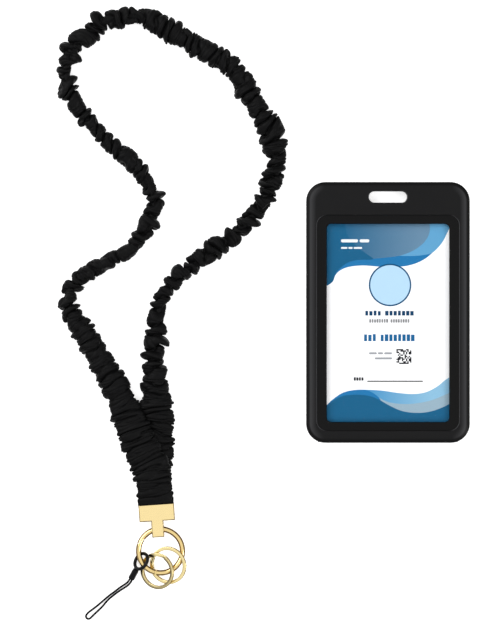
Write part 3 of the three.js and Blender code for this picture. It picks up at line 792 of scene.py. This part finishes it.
def make_holder_frame():
    """The front frame: a soft outer edge, a stepped recess round the window, and the slot."""
    size = (HOLDER_WIDTH, HOLDER_HEIGHT, HOLDER_CORNER)
    loops = [(inset(*size, 0.5), 0), (inset(*size, 0.15), 0.15), (inset(*size, 0), 0.5)]
    wall, soft, lean, steps, crown = 5.0, 0.8, math.radians(65), 6, 5.6
    for k in range(steps + 1):
        a = lean * k / steps
        loops.append((inset(*size, soft * (1 - math.cos(a))), wall + soft * math.sin(a)))
    start, low = soft * (1 - math.cos(lean)), wall + soft * math.sin(lean)
    for k in range(1, steps + 1):
        t = k / steps
        height = HOLDER_THICK - (HOLDER_THICK - low) * (1 - t) ** 2
        loops.append((inset(*size, start + (crown - start) * t), height))
    body = loft("holder_shell", loops, [HOLDER_PLASTIC], HOLDER_CENTER)
    step = (78.3, 118.4, 5.5)
    floor = HOLDER_THICK - 0.8
    recess = loft("recess", [
        (inset(*step, 0.25), floor), (inset(*step, 0.05), floor + 0.12), (inset(*step, 0), floor + 0.4),
        (inset(*step, -0.05), HOLDER_THICK - 0.25), (inset(*step, -0.3), HOLDER_THICK),
        (inset(*step, -0.3), ABOVE),
    ], [], WINDOW_CENTER)
    window = (67.3, 108.9, 2.6)
    opening = loft("opening", [
        (inset(*window, 0), 1), (inset(*window, 0), floor - 0.5), (inset(*window, -0.3), floor),
        (inset(*window, -0.3), ABOVE),
    ], [], WINDOW_CENTER)
    slot = (21, 6.2, 3.09)
    hole = loft("slot_hole", [
        (inset(*slot, -0.5), -1), (inset(*slot, -0.5), 0), (inset(*slot, 0), 0.5),
        (inset(*slot, 0), HOLDER_THICK - 0.6), (inset(*slot, -0.2), HOLDER_THICK - 0.2),
        (inset(*slot, -0.6), HOLDER_THICK), (inset(*slot, -0.6), ABOVE),
    ], [], HOLDER_CENTER + (0, SLOT_OFFSET))
    x, y = HOLDER_CENTER

    def pocket(name, half_width, low, high, z):
        return box_solid(name, (x - half_width, y + low, z[0]), (x + half_width, y + high, z[1]))

    pockets = [
        pocket("lens_pocket", 36, WINDOW_OFFSET - 56.8, WINDOW_OFFSET + 56.8, (3.4, 5.25)),
        pocket("channel", 36.8, BELOW, TRAY_END, (-1, 1.2)),
        pocket("grooves", 38.8, BELOW, TRAY_END, (0.9, 3.7)),
    ]
    combine(body, [recess, opening, hole, *pockets])
    shade_by_angle(body, 32)
    body.data.materials.clear()
    body.data.materials.append(HOLDER_PLASTIC)
    finish_piece(body, "holder", "holder_plastic", "holder_frame")


def make_rear_cover():
    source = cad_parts["rear_cover"]
    cover = bpy.data.objects.new("sliding_cover", source.data.copy())
    bpy.context.scene.collection.objects.link(cover)
    cover.data.materials.clear()
    cover.data.materials.append(COVER_PLASTIC)
    soften(cover, 0.15, 2, 35)
    finish_piece(cover, "card_tray", "holder_plastic", "rear_cover")


def make_lens():
    size = (71.4, 113, 1.2)
    lens = loft("clear_pane", [
        (inset(*size, 0.15), LENS_LOW), (inset(*size, 0), LENS_LOW + 0.15),
        (inset(*size, 0), LENS_HIGH - 0.15), (inset(*size, 0.15), LENS_HIGH),
    ], [CLEAR], WINDOW_CENTER)
    shade_by_angle(lens, 30)
    finish_piece(lens, "holder", "clear_window", "window_lens")


# ---------- the card and its printed pattern ----------
CARD_SIZE = (70, 111.5, 3)
CARD_LOW, CARD_TOP = 2.3, 3.1
INK = 0.02     # height of each printed layer

INKS = {
    "deep_blue": (0.008, 0.118, 0.251),
    "mid_blue": (0.016, 0.188, 0.442),
    "slate_blue": (0.134, 0.255, 0.382),
    "pale_blue": (0.268, 0.523, 0.724),
    "bright_blue": (0.04, 0.268, 0.549),
    "grey_blue": (0.322, 0.456, 0.549),
    "sky_blue": (0.121, 0.375, 0.63),
    "portrait_blue": (0.496, 0.737, 0.951),
    "rim_blue": (0.004, 0.08, 0.19),
    "dark_text": (0.007, 0.054, 0.134),
    "steel_text": (0.013, 0.134, 0.322),
    "grey_text": (0.268, 0.268, 0.281),
    "light_text": (0.375, 0.389, 0.415),
    "white_text": (0.9, 0.93, 0.95),
    "black_text": (0.016, 0.016, 0.02),
}


def smooth_edge(points):
    """A smooth curve through [x, y] points."""
    line = catmull_rom(np.array([[x, y, 0] for x, y in points]), 0.8)
    return [tuple(p[:2]) for p in line]


def printed(name, outline, ink, layer):
    """A flat printed shape, a hair's breadth above the card."""
    low = CARD_TOP + INK * (layer - 1) * 0.5
    points = np.array(outline)
    area = 0.5 * np.sum(points[:, 0] * np.roll(points[:, 1], -1) - np.roll(points[:, 0], -1) * points[:, 1])
    if area < 0:
        points = points[::-1]
    shape = loft(name, [(points, low), (points, CARD_TOP + INK * layer)], [ink], WINDOW_CENTER,
                 smooth=False)
    work = bmesh.new()
    work.from_mesh(shape.data)
    bmesh.ops.triangulate(work, faces=[f for f in work.faces if len(f.verts) > 4])
    work.to_mesh(shape.data)
    work.free()
    return shape


def bar(x0, x1, y, height):
    """The outline of a text-like bar with round ends, from x0 to x1."""
    return rounded_rectangle(x1 - x0, height, height * 0.45, 3) + ((x0 + x1) / 2, y)


def words(x0, x1, y, height, widths):
    """A row of bars that stands for a line of words: relative widths, with gaps between."""
    gap = height * 0.55
    unit = (x1 - x0 - gap * (len(widths) - 1)) / sum(widths)
    rows, x = [], x0
    for width in widths:
        rows.append(bar(x, x + width * unit, y, height))
        x += width * unit + gap
    return rows


def blocks(x0, x1, low, height, groups):
    """A row of plain upright blocks in groups, where larger lettering would be. They spell nothing."""
    random = np.random.default_rng(sum(groups))
    space = 0.8
    cell = (x1 - x0) / (sum(groups) + space * (len(groups) - 1))
    rows, x = [], x0
    for count in groups:
        for _ in range(count):
            wide, tall = cell * random.uniform(0.62, 0.8), height * random.uniform(0.88, 1)
            rows.append(rounded_rectangle(wide, tall, 0.12, 2) + (x + cell / 2, low + tall / 2))
            x += cell
        x += space * cell
    return rows


def make_card():
    inks = {name: print_material(f"ink_{name}", color) for name, color in INKS.items()}
    inks["graded"] = graded_ink("ink_graded", INKS["deep_blue"], INKS["slate_blue"], -26, 19)
    inks["fading"] = graded_ink("ink_fading", INKS["bright_blue"], INKS["pale_blue"], -14, 24)
    stock = print_material("card_stock", (0.93, 0.94, 0.95), 0.02)
    brighten(stock, 0.16)
    card = loft("printed_card", [
        (inset(*CARD_SIZE, 0.06), CARD_LOW), (inset(*CARD_SIZE, 0), CARD_LOW + 0.08),
        (inset(*CARD_SIZE, 0), CARD_TOP - 0.08), (inset(*CARD_SIZE, 0.06), CARD_TOP),
    ], [stock], WINDOW_CENTER)
    shade_by_angle(card, 30)
    half_x, half_y = CARD_SIZE[0] / 2 - 0.1, CARD_SIZE[1] / 2 - 0.1
    corner_top_left, corner_top_right = (-half_x, half_y), (half_x, half_y)
    corner_low_left, corner_low_right = (-half_x, -half_y), (half_x, -half_y)
    shapes = [
        # Waves at the top, from the back to the front.
        ("top_mid", [corner_top_right, corner_top_left, *smooth_edge([
            (-half_x, 19.6), (-30.4, 22.7), (-28.8, 26.4), (-26.4, 28.8), (-22.4, 30.6), (-14.5, 31.6),
            (-4, 31), (8.9, 31.2), (15.4, 32.8), (20.6, 35.4), (24.5, 38.6), (29.6, 43.9), (32.6, 49.5),
            (half_x, 54.6)])],
         "mid_blue", 1),
        ("top_pale", [corner_top_right, corner_top_left, *smooth_edge([
            (-half_x, 44), (-11.9, 42.4), (-5.4, 39.2), (3.7, 37.2), (14.1, 36.9), (19.3, 37.4), (24.2, 38.5),
            (29.6, 43.9), (32.6, 49.5), (half_x, 54.6)])], "sky_blue", 2),
        ("top_slate", [corner_top_left, *smooth_edge([
            (-half_x, 36), (-17.2, 34.6), (-9.3, 35.2), (-1, 36), (7.6, 37.3), (15.4, 40.7), (20.6, 45.2),
            (23, 50.2), (22.8, half_y)])], "graded", 3),
        ("top_deep", [corner_top_left, *smooth_edge([
            (-half_x, 20), (-30.3, 23), (-28.9, 26.8), (-26.3, 30.1), (-22.4, 33), (-17.2, 34.6), (-8, 35.2),
            (-11, 37.5), (-17, 42), (-22, 48), (-24, half_y)])], "deep_blue", 4),
        # Waves at the bottom.
        ("low_pale", [corner_low_left, corner_low_right, *smooth_edge([
            (half_x, -29.2), (31.1, -31.8), (27.1, -35), (20.6, -38.2), (14.1, -39.1), (6.3, -38.6),
            (-2.8, -37.3), (-10.6, -36.8), (-18.5, -36.9), (-25, -38.5), (-30.2, -42), (-half_x, -46.5)])],
         "fading", 1),
        ("low_grey", [corner_low_right, *smooth_edge([
            (half_x, -38), (24.5, -42.4), (15.4, -44.3), (7.6, -44.6), (-0.2, -43.4), (-5.4, -40.8),
            (-10.6, -37.6), (-12, -44), (-8, -50), (0, -half_y + 0.2)])], "grey_blue", 2),
        ("low_mid", [corner_low_left, *smooth_edge([
            (-half_x, -46.5), (-30.2, -42), (-25, -38.6), (-18.5, -37), (-12, -37), (-7.5, -39), (-4, -42.5),
            (-4, -48), (-8, -half_y + 0.2)])], "mid_blue", 3),
        ("low_deep", [corner_low_left, corner_low_right, *smooth_edge([
            (half_x, -44), (29.8, -46.6), (23.2, -48.8), (15.4, -49.5), (7.6, -48.4), (1.1, -45.6),
            (-5.4, -42), (-10.6, -40.1), (-18.5, -39.5), (-25, -40.3), (-30.2, -42.8), (-half_x, -46.8)])],
         "deep_blue", 4),
        ("portrait_rim", circle_points(11.7, 72) + (1.2, 20.9), "rim_blue", 5),
        ("portrait_disc", circle_points(10.9, 72) + (1.2, 20.9), "portrait_blue", 6),
    ]
    rows = [
        (words(-25.8, -10.2, 45.2, 1.7, (7, 4)), "white_text", 5),
        (words(-25.8, -14.2, 41.3, 1.0, (3, 2, 4)), "white_text", 5),
        (blocks(-12.8, 14.4, 4.1, 2.7, (4, 7)), "dark_text", 5),
        (blocks(-10.4, 12, 0.2, 2.0, (8, 8)), "grey_text", 5),
        (blocks(-13.5, 14.9, -10, 3.9, (3, 8)), "steel_text", 5),
        (words(-10.4, 2.3, -16.7, 1.1, (3, 2, 3)), "light_text", 5),
        (words(-7.2, 2.3, -19.5, 1.1, (4,)), "light_text", 5),
        (blocks(-18.9, -13.3, -31.7, 1.9, (4,)), "black_text", 5),
        ([bar(-11.4, 19.3, -32.1, 0.6)], "black_text", 5),
    ]
    pieces = [printed(name, outline, inks[ink], layer) for name, outline, ink, layer in shapes]
    for outlines, ink, layer in rows:
        pieces += [printed("row", outline, inks[ink], layer) for outline in outlines]
    pieces += check_square(inks["black_text"])
    finish_piece(card, "card_tray", "card_print", "id_card")
    join("card_artwork", pieces)
    finish_piece(bpy.data.objects["card_artwork"], "card_tray", "card_print")


def check_square(ink):
    """A small square of scattered cells where a code would be: a pattern that encodes nothing."""
    random = np.random.default_rng(5)
    cells, cell, corner = 11, 0.75, np.array([4.7, -22.6])
    pieces = []
    for row in range(cells):
        for column in range(cells):
            if random.random() < 0.55:
                low = corner + (column * cell, row * cell)
                outline = [low, low + (cell, 0), low + (cell, cell), low + (0, cell)]
                pieces.append(printed("check", outline, ink, 5))
    return pieces


def join(name, pieces):
    """Joins pieces into the first one, and gives it the name."""
    with bpy.context.temp_override(active_object=pieces[0], selected_editable_objects=pieces,
                                   selected_objects=pieces):
        bpy.ops.object.join()
    pieces[0].name = name
    pieces[0].data.name = name


# ---------- CAD nodes that stay ----------
def dress_kept_nodes():
    for node, material in (
        ("strap_core", ELASTIC), ("gate_spring", SPRING_STEEL), ("gate_hinge_pin", RING_GOLD),
    ):
        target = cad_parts[node]
        if not target.material_slots:
            target.data.materials.append(None)
        for slot in target.material_slots:
            slot.material = material


make_clamp()
make_gate_ring()
for side, facts in KEY_RINGS.items():
    make_key_ring(side, **facts)
make_tether()
make_holder_frame()
make_rear_cover()
make_lens()
make_card()
dress_kept_nodes()


# ---------- stage and light ----------
def make_stage():
    size = 3000
    outline = np.array([(-size, -size), (size, -size), (size, size), (-size, size)])
    s = Surface("table_white", Specular_IOR_Level=0.1, Emission_Color=(1, 1, 1, 1), Emission_Strength=0.6)
    s.feed("Base Color", s.blend(s.noise(6, 3), (0.9, 0.9, 0.9), (0.93, 0.93, 0.93)))
    s.feed("Roughness", s.ramp(s.noise(20, 3), 0.7, 0.8))
    floor = loft("table", [(outline, -20), (outline, -0.02)], [s.material], smooth=False)


def soft_box(name, location, size, power):
    data = bpy.data.lights.new(name, "AREA")
    data.shape = "RECTANGLE"
    data.size, data.size_y = size
    data.energy = power
    light = bpy.data.objects.new(name, data)
    light.location = location
    light.rotation_euler = (Vector((0, 0, 0)) - Vector(location)).to_track_quat("-Z", "Y").to_euler()
    bpy.context.scene.collection.objects.link(light)


def make_world():
    """White overhead, darker towards the horizon, so that polished metal shows its shape."""
    world = bpy.data.worlds.new("studio")
    bpy.context.scene.world = world
    world.use_nodes = True
    nodes, links = world.node_tree.nodes, world.node_tree.links
    background = nodes["Background"]
    background.inputs["Strength"].default_value = 1.02
    place = nodes.new("ShaderNodeTexCoord")
    split = nodes.new("ShaderNodeSeparateXYZ")
    ramp = nodes.new("ShaderNodeValToRGB")
    links.new(place.outputs["Generated"], split.inputs[0])
    links.new(split.outputs["Z"], ramp.inputs["Fac"])
    links.new(ramp.outputs["Color"], background.inputs["Color"])
    stops = ramp.color_ramp.elements
    stops[0].position, stops[0].color = 0.3, (0.02, 0.02, 0.022, 1)
    stops[1].position, stops[1].color = 0.72, (1, 1, 1, 1)
    middle = stops.new(0.5)
    middle.color = (0.4, 0.4, 0.42, 1)


make_stage()
make_world()
soft_box("key_light", (-1.3, 0.9, 1.3), (1.5, 1.5), 22)
soft_box("fill_light", (1.4, -0.7, 1.3), (0.9, 0.9), 12)
bpy.context.scene.view_settings.view_transform = "Standard"
